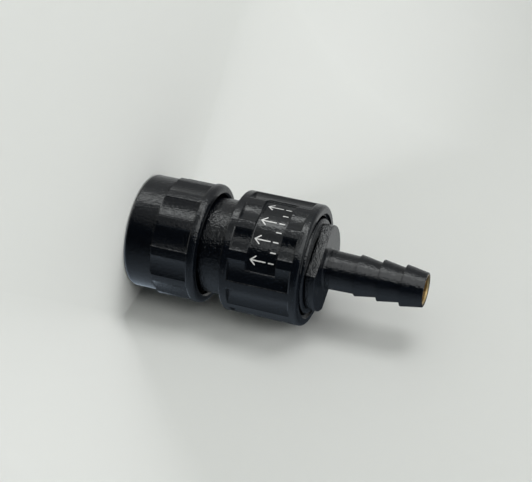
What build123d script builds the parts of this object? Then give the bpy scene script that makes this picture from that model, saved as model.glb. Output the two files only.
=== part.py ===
from build123d import *
import math
import os

os.makedirs("parts", exist_ok=True)

# Plastic quick disconnect coupling: a socket half with a clamp nut and a release sleeve,
# and a plug half with a hose barb.
# All lengths are in millimetres and angles in degrees.
# Z is the flow axis: 0 at the open end of the clamp nut, rising to the tip of the hose barb.
# The middle of the label window faces -Y.

# Clearances
RUNNING = 0.05      # thread flanks and other pieces that turn in each other, on the radius
SLIDING = 0.10      # sleeve on the neck, on the radius
SEATED = 0.02       # faces that rest on each other, and pieces fixed in each other
OPEN = 0.30         # neighbours that pass without touching

# Clamp nut
NUT_LENGTH = 19.2
NUT_COLLAR_LENGTH = 7.4
NUT_COLLAR_RADIUS = 14.6
NUT_LAND_RADIUS = 15.25
NUT_BAND_LENGTH = 2.2
NUT_BAND_RADIUS = 15.4
NUT_COLLAR_ROUND = 0.9
NUT_BAND_ROUND = 0.71       # share of the band's wall or length, whichever is less
NUT_MOUTH_BREAK = 0.45
NUT_FLUTE_DEPTH = 0.62
NUT_FLUTE_TURN = -92.0
HOSE_ENTRY_RADIUS = 10.3
HOSE_ENTRY_ROUND = 0.8
HOSE_ENTRY_LENGTH = 2.4
CLAMP_CONE_SMALL_RADIUS = 10.9
CLAMP_CONE_LARGE_RADIUS = 12.6
CLAMP_CONE_LENGTH = 4.8

# Flutes, alike on the nut and the sleeve
FLUTE_COUNT = 12
FLUTE_ANGLE = 20.0

# Clamp ring, a split collet round the hose
CLAMP_RING_LENGTH = 6.4
CLAMP_RING_BORE = 9.9
CLAMP_TOOTH_HEIGHT = 0.4
CLAMP_TOOTH_PITCH = 1.5
CLAMP_TOOTH_COUNT = 3
CLAMP_SPLIT_WIDTH = 1.6
CLAMP_SLOT_WIDTH = 0.9
CLAMP_SLOT_COUNT = 5
CLAMP_SLOT_DEPTH = 4.0

# Socket body
THREAD_RADIUS = 13.0
THREAD_LENGTH = 8.1
SKIRT_BORE = 10.7
SKIRT_DEPTH = 6.4
SPIGOT_PROUD = 7.6
SPIGOT_RADIUS = 6.2
SPIGOT_RIDGE_HEIGHT = 0.4
SPIGOT_RIDGE_COUNT = 3
SPIGOT_RIDGE_PITCH = 3.4
PASSAGE_RADIUS = 4.8
NECK_RADIUS = 12.25
NECK_LENGTH = 12.2
CORE_RADIUS = 9.3
CORE_LENGTH = 16.7
PLUG_BORE = 7.0
PLUG_BORE_DEPTH = 19.4
PLUG_BORE_LEAD = 0.6

# Socket seal
SEAL_SECTION = 1.7
SEAL_HEIGHT = 5.6

# Release sleeve, its cam and its spring
SLEEVE_OVERLAP = 3.7
SLEEVE_LENGTH = 20.35
SLEEVE_RADIUS = 15.5
SLEEVE_BACK_RIM = 2.2
SLEEVE_FRONT_RIM = 2.25
SLEEVE_FLUTE_DEPTH = 0.75
SLEEVE_BACK_ROUND = 0.5
SLEEVE_FRONT_ROUND = 0.5    # share of the front rim's wall
SLEEVE_FRONT_GAP = 0.55
SLEEVE_STEP_WIDTH = 0.6
SLEEVE_STEP_DEPTH = 0.6
SLEEVE_TRAVEL = 4.5
CAM_LENGTH = 4.5
WINDOW_START = 6.6
WINDOW_LENGTH = 7.8
WINDOW_ANGLE = 87.0
WINDOW_DEPTH = 1.15
WINDOW_CORNER = 0.25
SPRING_WIRE = 1.0
SPRING_MEAN_RADIUS = 10.85
SPRING_TURNS = 3.2
WASHER_THICKNESS = 0.6
WASHER_RADIUS = 11.9

# Lock balls
BALL_COUNT = 6
BALL_RADIUS = 1.6
BALL_SEAT_RADIUS = 8.0
BALL_LIFT = 1.1
BALL_HEIGHT = 11.8

# End ring that keeps the sleeve on the core
END_RING_LENGTH = 3.0
END_RING_PROUD = 0.4
END_RING_RADIUS = 12.25
END_RING_ROUND = 0.8
END_RING_BEAD = 0.35

# Plug half
NOSE_RADIUS = 6.9
NOSE_LENGTH = 19.0
NOSE_CHAMFER = 0.8
FLANGE_GAP = 0.1
FLANGE_THICKNESS = 2.5
FLANGE_ACROSS_FLATS = 16.2
FLANGE_RADIUS = 11.0
FLANGE_TURN = -93.9
FLANGE_EDGE_BREAK = 0.2
HUB_RADIUS = 5.0
HUB_ROUND = 0.7
STEM_RADIUS = 4.78
STEM_LENGTH = 8.1
BARB_RADIUS = 5.3
BARB_ROOT_RADIUS = 4.35
BARB_PITCH = 5.8
BARB_COUNT = 3
BARB_CREST_ROUND = 0.2
LAST_BARB_SHORTER = 0.2
TIP_RADIUS = 4.35
TIP_ROUND = 0.2
LINER_RADIUS = 3.9
LINER_BORE = 3.2
LINER_RECESS = 0.1

# Stations along the axis, each worked from the sizes above
clamp_cone_z = HOSE_ENTRY_LENGTH
clamp_cone_top = clamp_cone_z + CLAMP_CONE_LENGTH
ring_base = clamp_cone_z + SEATED
ring_top = ring_base + CLAMP_RING_LENGTH
skirt_z = ring_top + OPEN
thread_top = skirt_z + THREAD_LENGTH
shoulder_z = thread_top + NECK_LENGTH
core_top = shoulder_z + CORE_LENGTH
bore_floor = core_top - PLUG_BORE_DEPTH
sleeve_base = shoulder_z - SLEEVE_OVERLAP
sleeve_top = sleeve_base + SLEEVE_LENGTH
ring_front = core_top + END_RING_PROUD
end_ring_base = ring_front - END_RING_LENGTH
cam_top = end_ring_base - SEATED
cam_base = cam_top - CAM_LENGTH
ball_z = shoulder_z + BALL_HEIGHT
flange_z = ring_front + FLANGE_GAP
nose_z = flange_z - NOSE_LENGTH
flange_top = flange_z + FLANGE_THICKNESS
barb_z = flange_top + STEM_LENGTH
tip_z = barb_z + BARB_COUNT * BARB_PITCH - LAST_BARB_SHORTER
cam_slope = BALL_LIFT / SLEEVE_TRAVEL


def profile(points):
    """Face in the XZ half-plane from (radius, height) corners."""
    return make_face(Plane.XZ * Polyline(*points, close=True))


def softened(face, rounds):
    """Rounds the profile corner nearest each (radius, height) to the given fillet."""
    for r, z, size in rounds:
        corner = face.vertices().sort_by_distance((r, 0, z))[0]
        face = fillet(corner, size)
    return face


def turned(points, rounds=()):
    """Solid of revolution about Z."""
    return revolve(softened(profile(points), rounds), Axis.Z)


def tube(outer, inner, base, top):
    """Plain ring about Z."""
    return turned([(inner, base), (outer, base), (outer, top), (inner, top)])


def sector(inner, outer, base, top, angle, middle):
    """Block of a ring, angle wide about the direction middle."""
    ring = revolve(profile([(inner, base), (outer, base), (outer, top), (inner, top)]), Axis.Z, angle)
    return Rot(0, 0, middle - angle / 2) * ring


def flutes(surface_radius, depth, base, top, first):
    """Cutters for concave grip flutes: each is the side of an upright cylinder that meets the surface over
    FLUTE_ANGLE and sinks by depth in its middle."""
    half = math.radians(FLUTE_ANGLE / 2)
    chord = surface_radius * math.sin(half)
    sag = surface_radius * math.cos(half) - (surface_radius - depth)
    radius = (chord * chord + sag * sag) / (2 * sag)
    centre = surface_radius - depth + radius
    cutter = Cylinder(radius, top - base, align=(Align.CENTER, Align.CENTER, Align.MIN))
    reach = Box(2 * (radius - sag), 4 * chord, top - base, align=(Align.MIN, Align.CENTER, Align.MIN))
    cutter = Pos(centre, 0, base) * cutter & Pos(surface_radius - 2 * depth, 0, base) * reach
    step = 360 / FLUTE_COUNT
    return [Rot(0, 0, first + i * step) * cutter for i in range(FLUTE_COUNT)]


def clamp_nut():
    """Fluted nut: plain collar, flutes, rounded end band, hose entry, clamping cone and thread bore."""
    grip_top = NUT_LENGTH - NUT_BAND_LENGTH
    thread_bore = THREAD_RADIUS + RUNNING
    mouth = thread_bore + NUT_MOUTH_BREAK
    band_round = NUT_BAND_ROUND * min(NUT_BAND_RADIUS - mouth, NUT_BAND_LENGTH)
    body = turned(
        [
            (HOSE_ENTRY_RADIUS, 0),
            (NUT_COLLAR_RADIUS, 0),
            (NUT_COLLAR_RADIUS, NUT_COLLAR_LENGTH),
            (NUT_LAND_RADIUS, NUT_COLLAR_LENGTH + 0.25),
            (NUT_LAND_RADIUS, grip_top),
            (NUT_BAND_RADIUS, grip_top + 0.05),
            (NUT_BAND_RADIUS, NUT_LENGTH),
            (mouth, NUT_LENGTH),
            (thread_bore, NUT_LENGTH - NUT_MOUTH_BREAK),
            (thread_bore, clamp_cone_top),
            (CLAMP_CONE_LARGE_RADIUS, clamp_cone_top),
            (CLAMP_CONE_SMALL_RADIUS, clamp_cone_z),
            (HOSE_ENTRY_RADIUS, clamp_cone_z),
        ],
        [
            (NUT_COLLAR_RADIUS, 0, NUT_COLLAR_ROUND),
            (HOSE_ENTRY_RADIUS, 0, HOSE_ENTRY_ROUND),
            (NUT_BAND_RADIUS, NUT_LENGTH, band_round),
        ],
    )
    return body - flutes(NUT_LAND_RADIUS, NUT_FLUTE_DEPTH, NUT_COLLAR_LENGTH, grip_top, NUT_FLUTE_TURN)


def clamp_ring():
    """Split collet: outer cone that the nut squeezes, toothed bore, one through split and short slots."""
    slope = (CLAMP_CONE_LARGE_RADIUS - CLAMP_CONE_SMALL_RADIUS) / CLAMP_CONE_LENGTH
    base_radius = CLAMP_CONE_SMALL_RADIUS - SLIDING
    top_radius = CLAMP_CONE_LARGE_RADIUS - SLIDING
    cone_top = clamp_cone_top + SEATED
    points = [
        (CLAMP_RING_BORE, ring_base),
        (base_radius, ring_base),
        (base_radius + slope * (cone_top - ring_base), cone_top),
        (top_radius, ring_top),
        (CLAMP_RING_BORE, ring_top),
    ]
    tooth = ring_top - 0.6
    for _ in range(CLAMP_TOOTH_COUNT):
        points.append((CLAMP_RING_BORE, tooth))
        points.append((CLAMP_RING_BORE - CLAMP_TOOTH_HEIGHT, tooth - 0.1))
        points.append((CLAMP_RING_BORE, tooth - CLAMP_TOOTH_PITCH * 0.8))
        tooth -= CLAMP_TOOTH_PITCH
    body = turned(points)
    step = 360 / (CLAMP_SLOT_COUNT + 1)
    reach = 2 * CLAMP_CONE_LARGE_RADIUS
    split = Box(reach, CLAMP_SPLIT_WIDTH, 2 * ring_top, align=(Align.MIN, Align.CENTER, Align.MIN))
    slot = Box(reach, CLAMP_SLOT_WIDTH, ring_top, align=(Align.MIN, Align.CENTER, Align.MIN))
    cuts = [Rot(0, 0, 30) * split]
    for i in range(1, CLAMP_SLOT_COUNT + 1):
        cuts.append(Rot(0, 0, 30 + i * step) * Pos(0, 0, ring_top - CLAMP_SLOT_DEPTH) * slot)
    return body - cuts


def socket_body():
    """One moulding: ridged hose spigot, threaded skirt, neck, core, plug bore, seal groove, ball holes."""
    web_z = skirt_z + SKIRT_DEPTH
    spigot_z = skirt_z - SPIGOT_PROUD
    ridge = SPIGOT_RADIUS + SPIGOT_RIDGE_HEIGHT
    groove_z = bore_floor + SEAL_HEIGHT
    groove_half = SEAL_SECTION / 2 + 0.2
    groove_radius = NOSE_RADIUS + SEATED + SEAL_SECTION + SEATED
    bead = CORE_RADIUS - END_RING_BEAD - SEATED
    bead_low = end_ring_base + END_RING_LENGTH * 0.4 - SEATED
    bead_high = end_ring_base + END_RING_LENGTH * 0.6 + SEATED
    points = [(PASSAGE_RADIUS, spigot_z), (SPIGOT_RADIUS - 0.5, spigot_z)]
    for i in range(SPIGOT_RIDGE_COUNT):
        points.append((ridge, spigot_z + 2.0 + i * SPIGOT_RIDGE_PITCH))
        points.append((SPIGOT_RADIUS - 0.1, spigot_z + 2.1 + i * SPIGOT_RIDGE_PITCH))
    points += [
        (SPIGOT_RADIUS, web_z),
        (SKIRT_BORE, web_z),
        (SKIRT_BORE, skirt_z),
        (THREAD_RADIUS - 0.6, skirt_z),
        (THREAD_RADIUS, skirt_z + 0.6),
        (THREAD_RADIUS, thread_top - 0.4),
        (NECK_RADIUS, thread_top),
        (NECK_RADIUS, shoulder_z),
        (CORE_RADIUS, shoulder_z),
        (CORE_RADIUS, bead_low),
        (bead, bead_low + 0.3),
        (bead, bead_high),
        (CORE_RADIUS, bead_high),
        (CORE_RADIUS, core_top - 0.3),
        (CORE_RADIUS - 0.3, core_top),
        (PLUG_BORE + PLUG_BORE_LEAD, core_top),
        (PLUG_BORE, core_top - 1.4 * PLUG_BORE_LEAD),
        (PLUG_BORE, groove_z + groove_half),
        (groove_radius, groove_z + groove_half),
        (groove_radius, groove_z - groove_half),
        (PLUG_BORE, groove_z - groove_half),
        (PLUG_BORE, bore_floor),
        (PASSAGE_RADIUS, bore_floor),
    ]
    body = turned(points)
    hole = Cylinder(BALL_RADIUS + RUNNING, 12, align=(Align.CENTER, Align.CENTER, Align.MIN))
    hole = Pos(0, 0, ball_z) * Rot(0, 90, 0) * hole
    step = 360 / BALL_COUNT
    return body - [Rot(0, 0, i * step) * hole for i in range(BALL_COUNT)]


def socket_seal():
    """Round-section seal in the plug bore."""
    middle = NOSE_RADIUS + SEATED + SEAL_SECTION / 2
    return Pos(0, 0, bore_floor + SEAL_HEIGHT) * Torus(middle, SEAL_SECTION / 2)


def spring_washer():
    """Flat washer between the neck shoulder and the spring."""
    base = shoulder_z + SEATED
    return tube(WASHER_RADIUS, CORE_RADIUS + OPEN, base, base + WASHER_THICKNESS)


def sleeve_spring():
    """Round-wire compression spring between the washer and the sleeve's cam ring."""
    low = shoulder_z + 2 * SEATED + WASHER_THICKNESS + SPRING_WIRE / 2
    high = cam_base - SEATED - SPRING_WIRE / 2
    path = Helix((high - low) / SPRING_TURNS, high - low, SPRING_MEAN_RADIUS)
    section = Plane(path @ 0, z_dir=path % 0) * Circle(SPRING_WIRE / 2)
    return Pos(0, 0, low) * sweep(section, path, is_frenet=True)


def release_sleeve():
    """Sliding sleeve: plain rims, twelve flutes, recessed label window, spring chamber and ball cam."""
    grip_base = sleeve_base + SLEEVE_BACK_RIM
    grip_top = sleeve_top - SLEEVE_FRONT_RIM
    chamber = NECK_RADIUS + SLIDING
    front_bore = END_RING_RADIUS + SLEEVE_FRONT_GAP
    ball_line = BALL_SEAT_RADIUS + (BALL_RADIUS + RUNNING) * math.hypot(1, cam_slope)
    throat = max(ball_line - cam_slope * BALL_RADIUS / 2, BALL_SEAT_RADIUS + BALL_RADIUS + RUNNING / 2)
    step_bore = front_bore + SLEEVE_STEP_WIDTH
    body = turned(
        [
            (chamber + 0.3, sleeve_base),
            (SLEEVE_RADIUS, sleeve_base),
            (SLEEVE_RADIUS, sleeve_top),
            (step_bore, sleeve_top),
            (step_bore, sleeve_top - SLEEVE_STEP_DEPTH),
            (front_bore, sleeve_top - SLEEVE_STEP_DEPTH),
            (front_bore, cam_top),
            (ball_line + cam_slope * (cam_top - ball_z), cam_top),
            (ball_line, ball_z),
            (throat, ball_z - BALL_RADIUS / 2),
            (throat, cam_base),
            (chamber, cam_base),
            (chamber, sleeve_base + 0.3),
        ],
        [
            (SLEEVE_RADIUS, sleeve_base, SLEEVE_BACK_ROUND),
            (SLEEVE_RADIUS, sleeve_top, SLEEVE_FRONT_ROUND * (SLEEVE_RADIUS - step_bore)),
        ],
    )
    body -= flutes(SLEEVE_RADIUS, SLEEVE_FLUTE_DEPTH, grip_base, grip_top, -90 + 180 / FLUTE_COUNT)
    window_z = sleeve_base + WINDOW_START
    floor = SLEEVE_RADIUS - WINDOW_DEPTH
    window = sector(floor, SLEEVE_RADIUS + 2, window_z, window_z + WINDOW_LENGTH, WINDOW_ANGLE, -90)
    on_floor = [
        edge
        for edge in window.edges()
        if max(math.hypot((edge @ end).X, (edge @ end).Y) for end in (0, 1)) < floor + SEATED
    ]
    return body - fillet(on_floor, WINDOW_CORNER)


def lock_ball(index):
    """Steel ball in its hole through the core."""
    turn = Rot(0, 0, index * 360 / BALL_COUNT)
    return turn * Pos(BALL_SEAT_RADIUS, 0, ball_z) * Sphere(BALL_RADIUS)


def end_ring():
    """Snap-on ring that stops the sleeve, with a bead in its bore."""
    bore = CORE_RADIUS + SEATED
    low = end_ring_base + END_RING_LENGTH * 0.4
    high = end_ring_base + END_RING_LENGTH * 0.6
    return turned(
        [
            (bore, end_ring_base),
            (END_RING_RADIUS, end_ring_base),
            (END_RING_RADIUS, ring_front),
            (bore, ring_front),
            (bore, high),
            (bore - END_RING_BEAD, high),
            (bore - END_RING_BEAD, low + 0.3),
            (bore, low),
        ],
        [(END_RING_RADIUS, ring_front, END_RING_ROUND)],
    )


def plug_nipple():
    """One moulding: grooved nose, round flange with two wrench flats, tapered stem and three barbs."""
    bore = LINER_RADIUS + SEATED
    nose = turned(
        [
            (bore, nose_z),
            (NOSE_RADIUS - NOSE_CHAMFER, nose_z),
            (NOSE_RADIUS, nose_z + 1.5 * NOSE_CHAMFER),
            (NOSE_RADIUS, flange_z),
            (bore, flange_z),
        ]
    )
    nose -= Pos(0, 0, ball_z) * Torus(BALL_SEAT_RADIUS, BALL_RADIUS + 2 * RUNNING)
    blank = turned(
        [
            (bore, flange_z),
            (FLANGE_RADIUS - FLANGE_EDGE_BREAK, flange_z),
            (FLANGE_RADIUS, flange_z + FLANGE_EDGE_BREAK),
            (FLANGE_RADIUS, flange_top - FLANGE_EDGE_BREAK),
            (FLANGE_RADIUS - FLANGE_EDGE_BREAK, flange_top),
            (bore, flange_top),
        ]
    )
    standing = (Align.CENTER, Align.CENTER, Align.MIN)
    flats = Box(FLANGE_ACROSS_FLATS, 3 * FLANGE_RADIUS, FLANGE_THICKNESS, align=standing)
    flange = blank & Rot(0, 0, FLANGE_TURN) * Pos(0, 0, flange_z) * flats
    foot = HUB_RADIUS + 2 * HUB_ROUND
    middle = flange_z + FLANGE_THICKNESS / 2
    points = [(bore, middle), (foot, middle), (foot, flange_top), (HUB_RADIUS, flange_top), (STEM_RADIUS, barb_z)]
    rounds = [(HUB_RADIUS, flange_top, HUB_ROUND), (TIP_RADIUS, tip_z, TIP_ROUND)]
    for i in range(BARB_COUNT):
        crest = (BARB_RADIUS, barb_z + i * BARB_PITCH)
        points.append(crest)
        rounds.append((*crest, BARB_CREST_ROUND))
        if i < BARB_COUNT - 1:
            points.append((BARB_ROOT_RADIUS, barb_z + (i + 1) * BARB_PITCH))
    points += [(TIP_RADIUS, tip_z), (bore, tip_z)]
    stem = turned(points, rounds)
    return nose + flange + stem


def brass_liner():
    """Brass tube that backs the plug from nose to tip."""
    base = nose_z + LINER_RECESS
    top = tip_z - LINER_RECESS
    edge = (LINER_RADIUS - LINER_BORE) / 2
    return turned(
        [
            (LINER_BORE, base),
            (LINER_RADIUS, base),
            (LINER_RADIUS, top),
            (LINER_BORE + edge, top),
            (LINER_BORE, top - edge),
        ]
    )


PIECES = {
    "clamp_nut": clamp_nut(),
    "clamp_ring": clamp_ring(),
    "socket_body": socket_body(),
    "socket_seal": socket_seal(),
    "spring_washer": spring_washer(),
    "sleeve_spring": sleeve_spring(),
    "release_sleeve": release_sleeve(),
    "end_ring": end_ring(),
    "plug_nipple": plug_nipple(),
    "brass_liner": brass_liner(),
}
for number in range(BALL_COUNT):
    PIECES[f"lock_ball_{number + 1}"] = lock_ball(number)

for name, piece in PIECES.items():
    export_step(piece, f"parts/{name}.step")
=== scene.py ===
"""Plastic quick disconnect coupling, dressed on its CAD frame and lit in a plain studio."""

import logging
import math
from dataclasses import dataclass
from enum import Enum

import bmesh
import bpy
import numpy as np
from mathutils import Matrix, Vector


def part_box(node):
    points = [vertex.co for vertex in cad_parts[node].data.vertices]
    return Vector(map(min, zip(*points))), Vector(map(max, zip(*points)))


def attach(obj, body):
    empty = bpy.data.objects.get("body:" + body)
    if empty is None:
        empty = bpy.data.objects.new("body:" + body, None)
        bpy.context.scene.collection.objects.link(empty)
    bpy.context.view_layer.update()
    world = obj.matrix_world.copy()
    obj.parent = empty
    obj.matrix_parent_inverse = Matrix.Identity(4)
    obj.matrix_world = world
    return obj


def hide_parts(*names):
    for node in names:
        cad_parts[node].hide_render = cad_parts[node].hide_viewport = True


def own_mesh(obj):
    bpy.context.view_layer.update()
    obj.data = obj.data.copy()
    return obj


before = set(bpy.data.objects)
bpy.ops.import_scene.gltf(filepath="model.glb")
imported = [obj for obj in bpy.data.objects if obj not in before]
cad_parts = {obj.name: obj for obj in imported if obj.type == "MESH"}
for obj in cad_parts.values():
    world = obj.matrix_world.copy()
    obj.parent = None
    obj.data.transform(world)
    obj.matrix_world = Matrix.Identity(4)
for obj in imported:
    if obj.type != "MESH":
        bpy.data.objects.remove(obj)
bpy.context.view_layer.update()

LOG = logging.getLogger("coupling")
MM = 0.001
Triple = tuple[float, float, float]
Tint = Triple
Ring = tuple[tuple[float, float], ...]
DUST_TONE: Tint = (0.07, 0.072, 0.075)
PLASTIC_IOR = 1.5


class Body(Enum):
    """Bodies of the frame that the pieces made here ride on."""

    SOCKET = "socket"
    SLEEVE = "sleeve"


# ---------------------------------------------------------------- shader expressions


class Sock:
    """A shader socket that arithmetic can be written on."""

    def __init__(self, graph: "Graph", socket: bpy.types.NodeSocket) -> None:
        """Args: graph: the graph it belongs to. socket: the output socket."""
        self.graph = graph
        self.socket = socket

    def __add__(self, other: "Value") -> "Sock":
        """Sum."""
        return self.graph.math("ADD", self, other)

    __radd__ = __add__

    def __sub__(self, other: "Value") -> "Sock":
        """Difference."""
        return self.graph.math("SUBTRACT", self, other)

    def __rsub__(self, other: "Value") -> "Sock":
        """Difference, from the right."""
        return self.graph.math("SUBTRACT", other, self)

    def __mul__(self, other: "Value") -> "Sock":
        """Product."""
        return self.graph.math("MULTIPLY", self, other)

    __rmul__ = __mul__

    def __truediv__(self, other: "Value") -> "Sock":
        """Quotient."""
        return self.graph.math("DIVIDE", self, other)

    def __gt__(self, other: "Value") -> "Sock":
        """1 where this is greater, else 0."""
        return self.graph.math("GREATER_THAN", self, other)

    def __lt__(self, other: "Value") -> "Sock":
        """1 where this is less, else 0."""
        return self.graph.math("LESS_THAN", self, other)

    def clamped(self, low: float = 0.0, high: float = 1.0) -> "Sock":
        """Held between low and high."""
        return self.graph.math("MINIMUM", self.graph.math("MAXIMUM", self, low), high)


Value = Sock | float


class Graph:
    """The node tree of one material or world, emptied and ready to be written."""

    def __init__(self, owner: bpy.types.Material | bpy.types.World) -> None:
        """Args: owner: the material or world whose nodes are rebuilt."""
        owner.use_nodes = True
        self.tree = owner.node_tree
        self.tree.nodes.clear()

    def node(
        self, kind: str, settings: dict | None = None, sockets: dict | None = None, out: int | str = 0
    ) -> Sock:
        """Adds one node.

        Args:
            kind: the node's Blender type.
            settings: its properties, set first; "stops" holds a ramp's (place, colour) pairs.
            sockets: values or links of its inputs, by name or number.
            out: the output wanted, by name or number.

        Returns:
            The wanted output.
        """
        made = self.tree.nodes.new(kind)
        for name, value in (settings or {}).items():
            if name == "stops":
                elements = made.color_ramp.elements
                while len(elements) < len(value):
                    elements.new(0.5)
                for element, (place, colour) in zip(elements, value):
                    element.position = place
                    element.color = (*colour, 1.0) if len(colour) == 3 else colour
            else:
                setattr(made, name, value)
        for name, value in (sockets or {}).items():
            if isinstance(value, Sock):
                self.tree.links.new(value.socket, made.inputs[name])
            else:
                made.inputs[name].default_value = value
        return Sock(self, made.outputs[out]) if made.outputs else Sock(self, None)

    def math(self, operation: str, *values: Value) -> Sock:
        """One Math node of that operation on the values."""
        return self.node("ShaderNodeMath", {"operation": operation}, dict(enumerate(values)))

    def mix(self, factor: Value, first: "Value | tuple", second: "Value | tuple") -> Sock:
        """Colour mixed from first to second by factor."""
        sockets = {0: factor, 6: rgba(first), 7: rgba(second)}
        return self.node("ShaderNodeMix", {"data_type": "RGBA"}, sockets, 2)

    def object_mm(self, stretch: Triple = (1.0, 1.0, 1.0)) -> Sock:
        """Object coordinates in millimetres, each axis multiplied by stretch."""
        place = self.node("ShaderNodeTexCoord", out="Object")
        scale = tuple(s / MM for s in stretch)
        return self.node("ShaderNodeVectorMath", {"operation": "MULTIPLY"}, {0: place, 1: scale})

    def noise(self, place: Sock, per_mm: float, detail: float = 3.0, rough: float = 0.55) -> Sock:
        """Noise from 0 to 1 with per_mm cells in a millimetre."""
        sockets = {"Vector": place, "Scale": per_mm, "Detail": detail, "Roughness": rough}
        return self.node("ShaderNodeTexNoise", {}, sockets, "Fac")

    def specks(self, place: Sock, per_mm: float, size: float) -> Sock:
        """1 inside sparse round specks of that size in cells, 0 outside."""
        near = self.node("ShaderNodeTexVoronoi", {}, {"Vector": place, "Scale": per_mm}, "Distance")
        return near < size

    def scratches(self, place: Sock, per_mm: float, width: float) -> Sock:
        """1 along the thin walls of stretched cells, 0 elsewhere."""
        sockets = {"Vector": place, "Scale": per_mm}
        return self.node("ShaderNodeTexVoronoi", {"feature": "DISTANCE_TO_EDGE"}, sockets, "Distance") < width

    def scaled(self, vector: "Sock | Tint", factor: Sock) -> Sock:
        """Vector or colour times a number."""
        return self.node("ShaderNodeVectorMath", {"operation": "SCALE"}, {0: vector, "Scale": factor})

    def summed(self, first: Sock, second: Sock) -> Sock:
        """Sum of two vectors or colours."""
        return self.node("ShaderNodeVectorMath", {"operation": "ADD"}, {0: first, 1: second})

    def dot(self, first: Sock, second: Vector) -> Sock:
        """How far first reaches along second."""
        sockets = {0: first, 1: tuple(second)}
        return self.node("ShaderNodeVectorMath", {"operation": "DOT_PRODUCT"}, sockets, "Value")

    def smooth(self, t: Sock) -> Sock:
        """Smooth rise of a number that goes from 0 to 1: t * t * (3 - 2 * t)."""
        return t * t * (3.0 - t * 2.0)

    def parts(self, vector: Sock) -> tuple[Sock, Sock, Sock]:
        """The three components of a vector."""
        split = self.node("ShaderNodeSeparateXYZ", {}, {"Vector": vector}).socket.node
        return tuple(Sock(self, split.outputs[i]) for i in range(3))

    def bump(self, height: Sock, depth_mm: float, under: Sock | None = None) -> Sock:
        """Normal from a height, on top of another normal.

        Args:
            height: the height.
            depth_mm: how far a height of 1 stands above 0.
            under: the normal below it, or None for the surface's own.

        Returns:
            The normal.
        """
        sockets = {"Height": height, "Distance": depth_mm * MM}
        if under is not None:
            sockets["Normal"] = under
        return self.node("ShaderNodeBump", {}, sockets)

    def principled(self, **sockets: "Value | tuple | Sock") -> None:
        """Principled surface, wired to the output.

        Args:
            sockets: its inputs by name, with underscores for spaces.
        """
        named = {name.replace("_", " "): value for name, value in sockets.items()}
        surface = self.node("ShaderNodeBsdfPrincipled", {}, named)
        self.surface(surface)

    def surface(self, shader: Sock) -> None:
        """Wires a shader to the material's output."""
        self.node("ShaderNodeOutputMaterial", {}, {"Surface": shader})


def rgba(colour: "Sock | tuple | float") -> "Sock | tuple":
    """Colour with an alpha of 1.

    Args:
        colour: three numbers; anything else passes through as it is.

    Returns:
        Four numbers, or what was given.
    """
    if isinstance(colour, tuple) and len(colour) == 3:
        return (*colour, 1.0)
    return colour


# ---------------------------------------------------------------- finishes


@dataclass(frozen=True)
class Flutes:
    """Grip flutes of a moulding, so that its finish can give them crisp edges."""

    radius_mm: float
    first_deg: float
    low_mm: float
    high_mm: float
    floor_mm: float
    count: int = 12
    half_deg: float = 10.0
    width_mm: float = 0.38
    step_mm: float = 0.24
    start_inside: float = 0.15
    inner_rise: float = 9.0

    def outside(self, g: Graph) -> Sock:
        """Height of a small step round each flute.

        With t the distance past the flute's outline over width_mm, from a little inside it and held between
        0 and 1, the height is t * t * (3 - 2 * t). Closer to the axis than floor_mm, inner_rise keeps it at 1.

        Args:
            g: the graph it is written in.

        Returns:
            The height, 0 in a flute and 1 outside it.
        """
        x, y, z = g.parts(g.object_mm())
        turn = g.math("ARCTAN2", y, x) * (self.count / (2 * math.pi)) - self.first_deg * self.count / 360
        off = g.math("PINGPONG", turn, 0.5) * (2 * math.pi / self.count) - math.radians(self.half_deg)
        end = g.math("ABSOLUTE", z - (self.low_mm + self.high_mm) / 2) - (self.high_mm - self.low_mm) / 2
        past = g.math("MAXIMUM", off * self.radius_mm, end)
        inner = g.math("SQRT", x * x + y * y) < self.floor_mm
        return g.smooth((past / self.width_mm + self.start_inside + inner * self.inner_rise).clamped())


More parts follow.
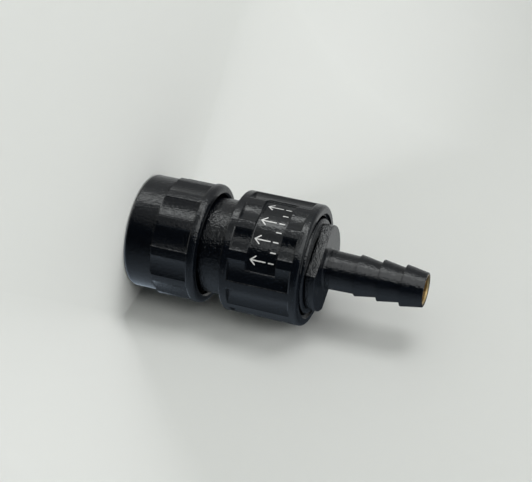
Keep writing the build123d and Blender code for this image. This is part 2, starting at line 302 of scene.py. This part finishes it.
@dataclass(frozen=True)
class MouldedBlack:
    """Black moulded plastic with the grain of a spark-eroded mould, softened edges, flow lines and dust."""

    name: str
    tone: Tint
    roughness: float
    grain_per_mm: float
    grain_mm: float
    pits_per_mm: float
    pit_mm: float
    edge_mm: float = 0.22
    edge_samples: int = 4
    rubbed: float = 0.08
    cloud_per_mm: float = 0.22
    flow_per_mm: float = 1.3
    flow_stretch: float = 0.16
    scuff_per_mm: float = 0.42
    scuff_width: float = 0.010
    scuff_stretch: Triple = (0.5, 0.5, 2.2)
    scuff_patches: float = 0.58
    patch_per_mm: float = 0.35
    scuff_cover: float = 0.1
    scuff_rough: float = 0.1
    dust_per_mm: float = 0.8
    dust: float = 0.03
    dust_cover: float = 0.6
    dust_rough: float = 0.3
    light_scale: float = 1.6
    light_lift: float = 0.0008
    cloud_cover: float = 0.55
    flow_cover: float = 0.25
    thread_mm: float = 0.5
    thread_root_mm: float = 12.4
    thread_pitch_mm: float = 0.0
    thread_top_mm: float = 0.0
    flutes: Flutes | None = None

    def build(self) -> bpy.types.Material:
        """Returns: the material."""
        made = bpy.data.materials.new(self.name)
        g = Graph(made)
        place = g.object_mm()
        cloud = g.noise(place, self.cloud_per_mm)
        flow = g.noise(g.object_mm((1.0, 1.0, self.flow_stretch)), self.flow_per_mm)
        scuffs = self.scuffs(g)
        specks = g.specks(place, self.dust_per_mm, self.dust)
        light = tuple(self.light_scale * c + self.light_lift for c in self.tone)
        colour = g.mix((cloud * self.cloud_cover + flow * self.flow_cover).clamped(), self.tone, light)
        colour = g.mix((specks * self.dust_cover + scuffs * self.scuff_cover).clamped(), colour, DUST_TONE)
        rough = self.roughness + (cloud - 0.5) * self.rubbed + (flow - 0.5) * self.rubbed
        rough = (rough + scuffs * self.scuff_rough + specks * self.dust_rough).clamped(0.05, 1.0)
        g.principled(Base_Color=colour, Roughness=rough, Normal=self.relief(g), IOR=PLASTIC_IOR)
        return made

    def scuffs(self, g: Graph) -> Sock:
        """1 along fine scuffs across the axis, in patches."""
        lines = g.scratches(g.object_mm(self.scuff_stretch), self.scuff_per_mm, self.scuff_width)
        return lines * (g.noise(g.object_mm(), self.patch_per_mm, 1.0) > self.scuff_patches)

    def relief(self, g: Graph) -> Sock:
        """Normal of the softened edges, the pits, the flute steps, the thread and the grain, one on another.

        Args:
            g: the graph it is written in.

        Returns:
            The normal.
        """
        place = g.object_mm()
        coarse = g.node("ShaderNodeBevel", {"samples": self.edge_samples}, {"Radius": self.edge_mm * MM})
        coarse = g.bump(g.noise(place, self.pits_per_mm, 1.0, 0.6), self.pit_mm, coarse)
        if self.flutes:
            coarse = g.bump(self.flutes.outside(g), self.flutes.step_mm, coarse)
        if self.thread_pitch_mm:
            coarse = g.bump(self.thread(g), self.thread_mm, coarse)
        return g.bump(g.noise(place, self.grain_per_mm, 1.0, 0.6), self.grain_mm, coarse)

    def thread(self, g: Graph) -> Sock:
        """Helical ridge below thread_top_mm: its height is a triangle wave of z / pitch - turn.

        Args:
            g: the graph it is written in.

        Returns:
            The height, from 0 to a half.
        """
        place = g.object_mm()
        x, y, z = g.parts(place)
        turn = g.math("ARCTAN2", y, x) / (2 * math.pi)
        wave = g.math("PINGPONG", z / self.thread_pitch_mm - turn, 0.5)
        radius = g.math("SQRT", x * x + y * y)
        return wave * (z < self.thread_top_mm) * (radius > self.thread_root_mm)


@dataclass(frozen=True)
class Brass:
    """Drawn brass tube: slightly dulled, with faint draw lines along it."""

    name: str
    tone: Tint
    roughness: float
    draw_per_mm: float = 6.0
    draw_stretch: float = 0.08
    draw_mm: float = 0.012
    draw_rough: float = 0.2
    dull_per_mm: float = 0.8
    dull_cover: float = 0.9
    dull_rough: float = 0.12
    dark_share: float = 0.55

    def build(self) -> bpy.types.Material:
        """Returns: the material."""
        made = bpy.data.materials.new(self.name)
        g = Graph(made)
        drawn = g.noise(g.object_mm((1.0, 1.0, self.draw_stretch)), self.draw_per_mm, 2.0)
        dull = g.noise(g.object_mm(), self.dull_per_mm)
        dark = tuple(self.dark_share * c for c in self.tone)
        colour = g.mix((dull * self.dull_cover).clamped(), dark, self.tone)
        rough = self.roughness + (drawn - 0.5) * self.draw_rough + dull * self.dull_rough
        g.principled(Base_Color=colour, Roughness=rough.clamped(0.08, 1.0), Metallic=1.0,
                     Normal=g.bump(drawn, self.draw_mm))
        return made


@dataclass(frozen=True)
class Steel:
    """Bare steel with a ground or drawn grain."""

    name: str
    tone: Tint
    roughness: float
    grain: Triple
    grain_per_mm: float = 7.0
    grain_mm: float = 0.008
    grain_rough: float = 0.25
    patch_per_mm: float = 0.9
    dark_share: float = 0.7

    def build(self) -> bpy.types.Material:
        """Returns: the material."""
        made = bpy.data.materials.new(self.name)
        g = Graph(made)
        ground = g.noise(g.object_mm(self.grain), self.grain_per_mm, 2.0)
        patch = g.noise(g.object_mm(), self.patch_per_mm, 2.0)
        colour = g.mix(patch, tuple(self.dark_share * c for c in self.tone), self.tone)
        rough = self.roughness + (ground - 0.5) * self.grain_rough
        g.principled(Base_Color=colour, Roughness=rough.clamped(0.06, 1.0), Metallic=1.0,
                     Normal=g.bump(ground, self.grain_mm))
        return made


@dataclass(frozen=True)
class Soft:
    """Dull non-metal such as natural acetal, rubber or white print."""

    name: str
    tone: Tint
    shade: Tint
    roughness: float
    grain_per_mm: float
    grain_mm: float
    grain_cover: float = 0.4
    grain_rough: float = 0.15
    cloud_per_mm: float = 0.4
    cloud_cover: float = 0.6

    def build(self) -> bpy.types.Material:
        """Returns: the material."""
        made = bpy.data.materials.new(self.name)
        g = Graph(made)
        place = g.object_mm()
        grain = g.noise(place, self.grain_per_mm)
        cloud = g.noise(place, self.cloud_per_mm)
        share = (cloud * self.cloud_cover + grain * self.grain_cover).clamped()
        colour = g.mix(share, self.shade, self.tone)
        rough = self.roughness + (grain - 0.5) * self.grain_rough
        g.principled(Base_Color=colour, Roughness=rough.clamped(0.1, 1.0), Normal=g.bump(grain, self.grain_mm))
        return made


@dataclass(frozen=True)
class Backing:
    """Plain matt paper of the floor and the backdrop; from behind it isn't there."""

    name: str
    tone: Tint
    one_sided: bool = False
    mottle_per_mm: float = 0.02
    mottle: float = 0.985

    def build(self) -> bpy.types.Material:
        """Returns: the material."""
        made = bpy.data.materials.new(self.name)
        g = Graph(made)
        paper = g.noise(g.object_mm(), self.mottle_per_mm)
        colour = g.mix(paper, tuple(self.mottle * c for c in self.tone), self.tone)
        front = g.node("ShaderNodeBsdfDiffuse", {}, {"Color": colour})
        if self.one_sided:
            behind = g.node("ShaderNodeNewGeometry", out="Backfacing")
            clear = g.node("ShaderNodeBsdfTransparent")
            front = g.node("ShaderNodeMixShader", {}, {0: behind, 1: front, 2: clear})
        g.surface(front)
        return made


COAL: Tint = (0.0011, 0.0018, 0.0032)
NUT_BLACK = MouldedBlack("nut_black", COAL, 0.14, 3.0, 0.045, 1.5, 0.085, rubbed=0.06,
                         flutes=Flutes(15.25, -92.0, 7.4, 17.0, 14.5))
SLEEVE_BLACK = MouldedBlack("sleeve_black", COAL, 0.11, 3.0, 0.03, 1.5, 0.06, rubbed=0.05,
                            flutes=Flutes(15.5, -75.0, 27.92, 43.82, 14.6))
BODY_BLACK = MouldedBlack("body_black", COAL, 0.09, 3.0, 0.055, 1.5, 0.16, rubbed=0.04, thread_pitch_mm=1.5,
                          thread_top_mm=17.0)
PLUG_BLACK = MouldedBlack("plug_black", COAL, 0.11, 3.0, 0.04, 1.5, 0.085, rubbed=0.06)
LINER_BRASS = Brass("liner_brass", (0.80, 0.58, 0.28), 0.28)
BALL_STEEL = Steel("ball_steel", (0.62, 0.62, 0.63), 0.18, (1.0, 1.0, 1.0))
WIRE_STEEL = Steel("wire_steel", (0.5, 0.5, 0.5), 0.3, (1.0, 1.0, 0.3))
COLLET_WHITE = Soft("collet_white", (0.74, 0.73, 0.68), (0.62, 0.6, 0.55), 0.42, 2.0, 0.01)
SEAL_BLACK = Soft("seal_black", (0.02, 0.02, 0.02), (0.012, 0.012, 0.012), 0.55, 3.0, 0.01)
PRINT_WHITE = Soft("print_white", (0.80, 0.80, 0.79), (0.62, 0.62, 0.61), 0.5, 5.0, 0.004)


# ---------------------------------------------------------------- meshes


def grids_mesh(name: str, grids: list[np.ndarray], closed: bool = False) -> bpy.types.Object:
    """Mesh object from grids of points.

    Args:
        name: the object's name.
        grids: arrays (rows, columns, 3) in metres; neighbours in both directions of a grid share faces.
        closed: whether points that meet are made one, which closes seams and poles.

    Returns:
        The object, linked to the scene.
    """
    quads = []
    first = 0
    for points in grids:
        rows, columns = points.shape[:2]
        index = first + np.arange(rows * columns).reshape(rows, columns)
        corners = [index[:-1, :-1], index[:-1, 1:], index[1:, 1:], index[1:, :-1]]
        quads.append(np.stack(corners, axis=-1).reshape(-1, 4))
        first += rows * columns
    mesh = bpy.data.meshes.new(name)
    mesh.from_pydata(np.concatenate([points.reshape(-1, 3) for points in grids]), [], np.concatenate(quads))
    if closed:
        work = bmesh.new()
        work.from_mesh(mesh)
        bmesh.ops.remove_doubles(work, verts=work.verts, dist=1e-7)
        work.to_mesh(mesh)
        work.free()
    mesh.update()
    made = bpy.data.objects.new(name, mesh)
    bpy.context.scene.collection.objects.link(made)
    return made


def paint(made: bpy.types.Object, material: bpy.types.Material) -> None:
    """Gives the object one material on all its faces."""
    made.data.materials.clear()
    made.data.materials.append(material)


def dress_node(name: str, material: bpy.types.Material) -> None:
    """Paints a CAD node and reports it."""
    paint(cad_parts[name], material)
    LOG.info("%s: %s", name, material.name)


# ---------------------------------------------------------------- sub-assemblies


@dataclass
class ClampNut:
    """The nut and the split ring inside it."""

    nut: MouldedBlack = NUT_BLACK
    collet: Soft = COLLET_WHITE

    def dress(self) -> None:
        """Paints both."""
        dress_node("clamp_nut", self.nut.build())
        dress_node("clamp_ring", self.collet.build())


@dataclass
class SocketHalf:
    """The socket moulding with its seal, spring, washer and end ring."""

    body: MouldedBlack = BODY_BLACK
    ring: MouldedBlack = PLUG_BLACK
    seal: Soft = SEAL_BLACK
    balls: Steel = BALL_STEEL

    def dress(self) -> None:
        """Paints the pieces."""
        steel = self.balls.build()
        dress_node("socket_body", self.body.build())
        dress_node("end_ring", self.ring.build())
        dress_node("socket_seal", self.seal.build())
        dress_node("spring_washer", steel)
        for name in sorted(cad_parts):
            if name.startswith("lock_ball_"):
                dress_node(name, steel)


@dataclass
class SleeveSpring:
    """Coil spring under the sleeve; the real one closes up as the sleeve is drawn."""

    finish: Steel = WIRE_STEEL
    wire: float = 1.0 * MM
    coil: float = 10.85 * MM
    turns: float = 3.2
    travel: float = 4.5 * MM
    foot: float = 30.06 * MM
    steps: int = 193
    round_steps: int = 17

    def dress(self) -> None:
        """Makes the spring, which stands for the CAD one and rides the socket."""
        spring = grids_mesh("coil_spring", [self.coils()], closed=True)
        spring.data.shade_smooth()
        paint(spring, self.finish.build())
        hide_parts("sleeve_spring")
        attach(spring, Body.SOCKET.value)
        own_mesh(spring)
        LOG.info("coil_spring: %s", self.finish.name)

    def coils(self) -> np.ndarray:
        """Round wire along a helix.

        The wire's middle is at (R cos a, R sin a, z), with a the turn and z rising evenly with it. Round it,
        at the angle p, the surface lies at w * (n cos p + b sin p). n points from the axis, b is square to n
        and to the wire, and w is half the wire, falling to 0 at both ends.

        Returns:
            Grid of points, facing outwards.
        """
        low, high = (corner[2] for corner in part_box("sleeve_spring"))
        t = np.concatenate([[0.0], np.linspace(0.0, 1.0, self.steps), [1.0]])[:, None]
        w = np.concatenate([[0.0], np.full(self.steps, self.wire / 2), [0.0]])[:, None, None]
        a = 2 * math.pi * self.turns * t
        rise = (high - low - self.wire) / (2 * math.pi * self.turns)
        height = low + self.wire / 2 + rise * a
        middle = np.stack([self.coil * np.cos(a), self.coil * np.sin(a), height], axis=-1)
        n = np.stack([np.cos(a), np.sin(a), 0 * a], axis=-1)
        along = np.stack([-self.coil * np.sin(a), self.coil * np.cos(a), rise + 0 * a], axis=-1)
        along = along / np.linalg.norm(along, axis=-1, keepdims=True)
        b = np.cross(along, n)
        p = np.linspace(0.0, 2 * math.pi, self.round_steps)[None, :, None]
        return middle + w * (n * np.cos(p) + b * np.sin(p))


@dataclass
class ReleaseSleeve:
    """The sliding sleeve, with arrows and ticks printed in its window to show which way it is drawn."""

    finish: MouldedBlack = SLEEVE_BLACK
    ink: Soft = PRINT_WHITE
    window_floor: float = 14.35 * MM
    ink_proud: float = 0.02 * MM
    stroke: float = 0.30 * MM
    arrow_angles: tuple[float, ...] = (-31.5, -10.5, 10.5, 31.5)
    arrow_low: float = 7.5 * MM
    arrow_high: float = 11.3 * MM
    head_back: float = 1.25 * MM
    head_half: float = 1.05 * MM
    tick_angles: tuple[float, ...] = (-31.5, -21.0, -10.5, 0.0, 10.5, 21.0, 31.5)
    tick_low: float = 12.2 * MM
    tick_high: float = 13.4 * MM

    def dress(self) -> None:
        """Paints the sleeve and adds the print."""
        dress_node("release_sleeve", self.finish.build())
        ink = self.ink.build()
        for number, angle in enumerate(self.arrow_angles, 1):
            self.lay(f"release_arrow_{number}", self.arrow(angle), ink)
        ticks = [self.line((a, self.tick_low), (a, self.tick_high)) for a in self.tick_angles]
        self.lay("release_ticks", ticks, ink)

    def print_radius(self) -> float:
        """Radius of the printed surface."""
        return self.window_floor + self.ink_proud

    def lay(self, name: str, lines: list[np.ndarray], ink: bpy.types.Material) -> None:
        """Makes one printed mark and lets it ride the sleeve.

        Args:
            name: the mark's name.
            lines: its strokes.
            ink: what it is printed with.
        """
        mark = grids_mesh(name, lines)
        paint(mark, ink)
        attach(mark, Body.SLEEVE.value)
        LOG.info("%s: %s", name, ink.name)

    def arrow(self, angle: float) -> list[np.ndarray]:
        """Strokes of an arrow that points to the nut: a shaft and two short lines back from its point.

        Args:
            angle: degrees from the window's middle.

        Returns:
            The three strokes.
        """
        half = math.degrees(self.head_half / self.print_radius())
        point = (angle, self.arrow_low)
        back = self.arrow_low + self.head_back
        return [
            self.line(point, (angle, self.arrow_high)),
            self.line(point, (angle - half, back)),
            self.line(point, (angle + half, back)),
        ]

    def line(self, start: tuple[float, float], end: tuple[float, float]) -> np.ndarray:
        """One straight stroke with round ends, laid on the window's curved floor.

        In the unrolled floor, s is arc and z is height. A point at t along and u across lies at the start
        plus t times the run, plus u times w(t) across it. w is half the stroke, and falls as a half circle
        in the caps. The plane is then wrapped: the turn from the window's middle is s over the radius.

        Args:
            start: angle from the window's middle in degrees, and height above the sleeve's lower end.
            end: the same for the other end.

        Returns:
            Grid of points, facing outwards.
        """
        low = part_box("release_sleeve")[0][2]
        flat = np.array([[math.radians(a) * self.print_radius(), low + z] for a, z in (start, end)])
        run = flat[1] - flat[0]
        length = float(np.hypot(*run))
        unit = run / length
        half = self.stroke / 2
        cap = np.linspace(0.0, math.pi / 2, 6)
        shaft = np.linspace(0.0, length, 9)[1:-1]
        t = np.concatenate([-half * np.cos(cap), shaft, length + half * np.sin(cap)])
        w = np.concatenate([half * np.sin(cap), np.full(len(shaft), half), half * np.cos(cap)])
        w = np.maximum(w, 0.02 * half)
        u = np.linspace(-1.0, 1.0, 5)
        across = np.array([-unit[1], unit[0]])
        plane = flat[0] + t[:, None, None] * unit + (u[None, :] * w[:, None])[..., None] * across
        turn = plane[..., 0] / self.print_radius() - math.pi / 2
        x, y = np.cos(turn) * self.print_radius(), np.sin(turn) * self.print_radius()
        return np.stack([x, y, plane[..., 1]], axis=-1)[:, ::-1]


@dataclass
class PlugHalf:
    """The barbed plug and its brass liner."""

    finish: MouldedBlack = PLUG_BLACK
    liner: Brass = LINER_BRASS

    def dress(self) -> None:
        """Paints both."""
        dress_node("plug_nipple", self.finish.build())
        dress_node("brass_liner", self.liner.build())


# ---------------------------------------------------------------- studio

EVEN: Tint = (0.97, 1.0, 0.99)
BLUISH: Tint = (0.84, 1.0, 1.17)
PAPER: Tint = (0.63, 0.644, 0.623)


@dataclass(frozen=True)
class Sides:
    """Directions round the upright coupling.

    A turn is measured in degrees about the axis, from the camera's side towards the lit side.
    """

    camera_turn: float = -65.7
    light_side: float = 51.2

    def basis(self) -> tuple[Vector, Vector, Vector]:
        """Returns: unit vectors to the camera's side, across it, and up."""
        turn = math.radians(self.camera_turn)
        near = Vector((math.cos(turn), math.sin(turn), 0.0))
        across = Vector((math.sin(turn), -math.cos(turn), 0.0))
        return near, across, Vector((0.0, 0.0, 1.0))

    def lit(self) -> Vector:
        """Returns: unit vector to the side that the backdrop faces."""
        near, across, _ = self.basis()
        turn = math.radians(self.light_side)
        return math.cos(turn) * near + math.sin(turn) * across

    def place(self, turn: float, height: float, reach: float) -> Vector:
        """Point at that turn, height above the floor and distance from the axis.

        Args:
            turn: degrees from the camera's side.
            height: metres above the floor.
            reach: metres from the axis.

        Returns:
            The point.
        """
        near, across, up = self.basis()
        angle = math.radians(turn)
        return reach * (math.cos(angle) * near + math.sin(angle) * across) + height * up

    def along(self, parts: Triple) -> Vector:
        """Unit vector from its parts to the camera's side, across and up."""
        near, across, up = self.basis()
        return (parts[0] * near + parts[1] * across + parts[2] * up).normalized()


@dataclass(frozen=True)
class ViewCamera:
    """Camera beside the standing coupling, rolled so that the coupling lies in the picture."""

    sides: Sides = Sides()
    height: float = 122.19 * MM
    reach: float = 316.5 * MM
    focal_mm: float = 87.94
    sensor_mm: float = 36.0
    clip: tuple[float, float] = (0.01, 50.0)
    forward: Triple = (-0.9617, 0.0107, -0.2739)
    right: Triple = (-0.2653, 0.2131, 0.9403)

    def build(self) -> None:
        """Makes it the scene's camera."""
        data = bpy.data.cameras.new("camera")
        data.sensor_width = self.sensor_mm
        data.lens = self.focal_mm
        data.clip_start, data.clip_end = self.clip
        made = bpy.data.objects.new("camera", data)
        bpy.context.scene.collection.objects.link(made)
        back = -self.sides.along(self.forward)
        right = self.sides.along(self.right)
        right = (right - right.dot(back) * back).normalized()
        axes = Matrix((right, back.cross(right), back)).transposed().to_4x4()
        made.matrix_world = Matrix.Translation(self.sides.place(0.0, self.height, self.reach)) @ axes
        bpy.context.scene.camera = made


@dataclass(frozen=True)
class Backdrop:
    """Floor, and a paper sweep that rises behind the coupling."""

    sides: Sides = Sides()
    tone: Tint = PAPER
    gap: float = 15.55 * MM
    cove: float = 0.07
    cove_least: float = 0.4 * MM
    cove_start: float = 17.0 * MM
    cove_slope: float = 0.9
    reach: float = 4.0
    depth: float = 2.0
    tall: float = 0.8

    def build(self) -> None:
        """Makes both."""
        self.stand("floor", self.floor(), Backing("floor_paper", self.tone).build())
        sweep = self.stand("sweep", self.sweep(), Backing("sweep_paper", self.tone, one_sided=True).build())
        sweep.data.shade_smooth()

    def stand(self, name: str, points: np.ndarray, material: bpy.types.Material) -> bpy.types.Object:
        """Stage object of these points, left out of reflections.

        Args:
            name: the object's name.
            points: grid of its points.
            material: what covers it.

        Returns:
            The object.
        """
        made = grids_mesh(name, [points])
        paint(made, material)
        made.visible_glossy = False
        return made

    def floor(self) -> np.ndarray:
        """Flat rectangle behind the backdrop line.

        The corner at (u, v), each -1 or 1, lies at -u * reach along the line, and at
        -(depth + gap) + v * depth to the lit side.

        Returns:
            Grid of points, facing up.
        """
        u, v = np.meshgrid([-1.0, 1.0], [-1.0, 1.0])
        line, lit, _ = self.axes()
        return u[..., None] * self.reach * -line + (v[..., None] * self.depth - self.depth - self.gap) * lit

    def axes(self) -> tuple[np.ndarray, np.ndarray, np.ndarray]:
        """Returns: unit vectors along the backdrop line, to the lit side, and up."""
        _, _, up = (np.array(v) for v in self.sides.basis())
        lit = np.array(self.sides.lit())
        return np.cross(up, lit), lit, up

    def sweep(self) -> np.ndarray:
        """Paper that lies in front of the backdrop line, turns up in a cove and rises behind the coupling.

        At s along the line the cove has the radius r(s) = (|s| - cove_start) * cove_slope, held between
        cove_least and cove. The profile runs over the floor to r before the line, round a quarter circle, and
        up from the height r.

        Returns:
            Grid of points, facing the coupling and up.
        """
        line, lit, up = self.axes()
        side = np.concatenate([np.linspace(0.0, 0.12, 61), np.geomspace(0.125, self.reach, 24)])
        side = np.concatenate([side[:0:-1], -side])
        radius = (np.abs(side) - self.cove_start) * self.cove_slope
        radius = np.clip(radius, self.cove_least, self.cove)[:, None]
        quarter = np.linspace(0.0, math.pi / 2, 17)[None, :]
        flat = radius + (self.reach - radius) * np.linspace(1.0, 0.0, 24)[None, :-1] ** 3
        rise = radius + (self.tall - radius) * np.linspace(0.0, 1.0, 24)[None, 1:] ** 2
        out = np.concatenate([flat, radius * (1 - np.sin(quarter)), 0 * rise], axis=1) - self.gap
        high = np.concatenate([0 * flat, radius * (1 - np.cos(quarter)), rise], axis=1)
        return side[:, None, None] * line + out[..., None] * lit + high[..., None] * up


@dataclass(frozen=True)
class SoftLamp:
    """Soft rectangular lamp that faces the middle of the coupling, long side along the axis."""

    name: str
    turn: float
    height: float
    reach: float
    width: float
    tall: float
    watts: float
    aim: float = 37.0 * MM

    def build(self, sides: Sides) -> None:
        """Adds it to the scene, unseen itself and in reflections.

        Args:
            sides: directions round the coupling.
        """
        data = bpy.data.lights.new(self.name, "AREA")
        data.shape = "RECTANGLE"
        data.size = self.width
        data.size_y = self.tall
        data.energy = self.watts
        made = bpy.data.objects.new(self.name, data)
        bpy.context.scene.collection.objects.link(made)
        centre = sides.place(self.turn, self.height, self.reach)
        aim = Vector((0.0, 0.0, self.aim)) - centre
        made.matrix_world = Matrix.Translation(centre) @ aim.to_track_quat("-Z", "Y").to_matrix().to_4x4()
        made.visible_camera = False
        made.visible_glossy = False


@dataclass(frozen=True)
class Strip:
    """Bright upright strip of the tent: a soft-edged stretch of turns, stronger further up."""

    middle: float
    half: float
    soft: float
    foot: float
    rise: float
    crown: float


@dataclass(frozen=True)
class LightTent:
    """Round wall about the coupling that only its gloss shows: a bright strip, a dark gap and a painted
    reflection of a table, with painted shade on it.

    A ring gives the light at each turn in degrees. The painted table's ring is another for the nut's collar
    than for all above it; the one above is darker where the coupling would shade the table. Each of
    collar_end, rise and crown is the height where a change starts and how far it takes.
    """

    sides: Sides = Sides()
    radius: float = 0.075
    bottom: float = -0.25
    top: float = 0.4
    brightest: float = 5.0
    painted_table_low: Ring = (
        (-180.0, 0.50), (-147.0, 0.58), (-114.0, 0.52), (-98.0, 0.46), (-82.0, 0.36), (-65.0, 0.24),
        (-49.0, 0.11), (-35.0, 0.0), (30.0, 0.0), (180.0, 0.0))
    painted_table_high: Ring = (
        (-180.0, 0.04), (-147.0, 0.08), (-130.0, 0.15), (-114.0, 0.28), (-98.0, 0.40), (-82.0, 0.40),
        (-65.0, 0.36), (-49.0, 0.26), (-33.0, 0.04), (30.0, 0.0), (180.0, 0.0))
    lit_wall: Ring = (
        (-180.0, 0.0), (40.0, 0.0), (52.0, 0.45), (56.5, 4.5), (62.0, 4.5), (66.0, 0.95), (76.0, 0.75),
        (84.0, 0.50), (94.0, 0.40), (116.0, 0.38), (132.0, 0.50), (180.0, 0.50))
    strips: tuple[Strip, ...] = (Strip(16.0, 4.0, 3.0, 0.12, 1.3, 0.0), Strip(35.0, 13.0, 5.0, 0.3, 0.15, 1.3))
    collar_end: tuple[float, float] = (-0.020, 0.007)
    rise: tuple[float, float] = (-0.015, 0.04)
    crown: tuple[float, float] = (0.03, 0.012)

    def build(self) -> None:
        """Makes the wall.

        The point at turn a and height z lies on a cylinder of that radius round the axis.
        """
        turns, heights = np.meshgrid(
            np.radians(np.linspace(-180.0, 180.0, 181)), np.linspace(self.bottom, self.top, 14))
        near, across, _ = (np.array(v) for v in self.sides.basis())
        points = (np.cos(turns)[..., None] * near + np.sin(turns)[..., None] * across) * self.radius
        points[..., 2] = heights
        made = grids_mesh("tent", [points])
        paint(made, self.cloth())
        made.visible_camera = False
        made.visible_diffuse = False
        made.visible_shadow = False
        made.visible_transmission = False

    def cloth(self) -> bpy.types.Material:
        """Returns: glowing cloth; its light follows the turn, with two strips that fade downwards."""
        made = bpy.data.materials.new("tent_cloth")
        g = Graph(made)
        place = g.node("ShaderNodeTexCoord", out="Object")
        x, y, z = (g.dot(place, v) for v in self.sides.basis())
        turn = g.math("ARCTAN2", y, x) * (180 / math.pi)
        # painted reflection of a table, with painted shade where the coupling would shade it
        table = g.mix(self.above(z, *self.collar_end), self.around(g, turn, self.painted_table_low, BLUISH),
                      self.around(g, turn, self.painted_table_high, BLUISH))
        rise, crown = self.above(z, *self.rise), self.above(z, *self.crown)
        strips: Value = 0.0
        for strip in self.strips:
            strips = self.peak(turn, strip) * (strip.foot + rise * strip.rise + crown * strip.crown) + strips
        glow = g.scaled(EVEN, strips)
        for ring in (table, self.around(g, turn, self.lit_wall, EVEN)):
            glow = g.summed(glow, g.scaled(ring, self.brightest))
        g.surface(g.node("ShaderNodeEmission", {}, {"Color": glow, "Strength": 1.0}))
        return made

    def around(self, g: Graph, turn: Sock, ring: Ring, tint: Tint) -> Sock:
        """Ramp of a ring's light, as a share of the brightest.

        Args:
            g: the graph it is written in.
            turn: the turn in degrees.
            ring: light at each turn, in rising order.
            tint: the light's colour.

        Returns:
            The colour at that turn.
        """
        stops = [((a + 180.0) / 360.0, tuple(c * v / self.brightest for c in tint)) for a, v in ring]
        return g.node("ShaderNodeValToRGB", {"stops": stops}, {0: turn / 360.0 + 0.5}, "Color")

    def peak(self, turn: Sock, strip: Strip) -> Sock:
        """1 within the strip's half width of its middle, falling to 0 over its soft edge."""
        away = turn.graph.math("ABSOLUTE", turn - strip.middle)
        return ((strip.half + strip.soft - away) / strip.soft).clamped()

    def above(self, height: Sock, start: float, over: float) -> Sock:
        """0 up to the height start, rising to 1 over the next stretch."""
        return ((height - start) / over).clamped()


@dataclass(frozen=True)
class Studio:
    """Everything round the coupling: backdrop, lamps, reflections, surroundings and camera."""

    sides: Sides = Sides()
    paper: Tint = PAPER
    ambient: float = 0.03
    lamps: tuple[SoftLamp, ...] = (
        SoftLamp("key_lamp", 66.0, 0.08, 0.62, 0.22, 0.5, 2.1),
        SoftLamp("side_lamp", 26.0, 0.22, 0.62, 0.26, 0.34, 0.5),
        SoftLamp("top_lamp", 51.0, 0.75, 0.28, 0.5, 0.5, 4.8),
    )

    def build(self) -> None:
        """Sets everything up."""
        bpy.context.scene.view_settings.view_transform = "Standard"
        Backdrop(self.sides, self.paper).build()
        for lamp in self.lamps:
            lamp.build(self.sides)
        LightTent(self.sides).build()
        self.world()
        ViewCamera(self.sides).build()
        LOG.info("studio: %d lamps", len(self.lamps))

    def world(self) -> None:
        """Even surroundings: paper to the camera and in reflections, dim as light."""
        world = bpy.data.worlds.new("surroundings")
        bpy.context.scene.world = world
        g = Graph(world)
        kinds = ("Camera", "Glossy", "Transmission")
        camera, glossy, through = (g.node("ShaderNodeLightPath", out=f"Is {kind} Ray") for kind in kinds)
        colour = g.mix((camera + glossy + through).clamped(), (self.ambient,) * 3, self.paper)
        shade = g.node("ShaderNodeBackground", {}, {"Color": colour, "Strength": 1.0})
        g.node("ShaderNodeOutputWorld", {}, {"Surface": shade})


def main() -> None:
    """Builds the sub-assemblies, then the studio."""
    logging.basicConfig(level=logging.INFO, format="%(name)s %(message)s")
    for part in (ClampNut(), SocketHalf(), SleeveSpring(), ReleaseSleeve(), PlugHalf()):
        part.dress()
    Studio().build()


if __name__ == "__main__":
    main()
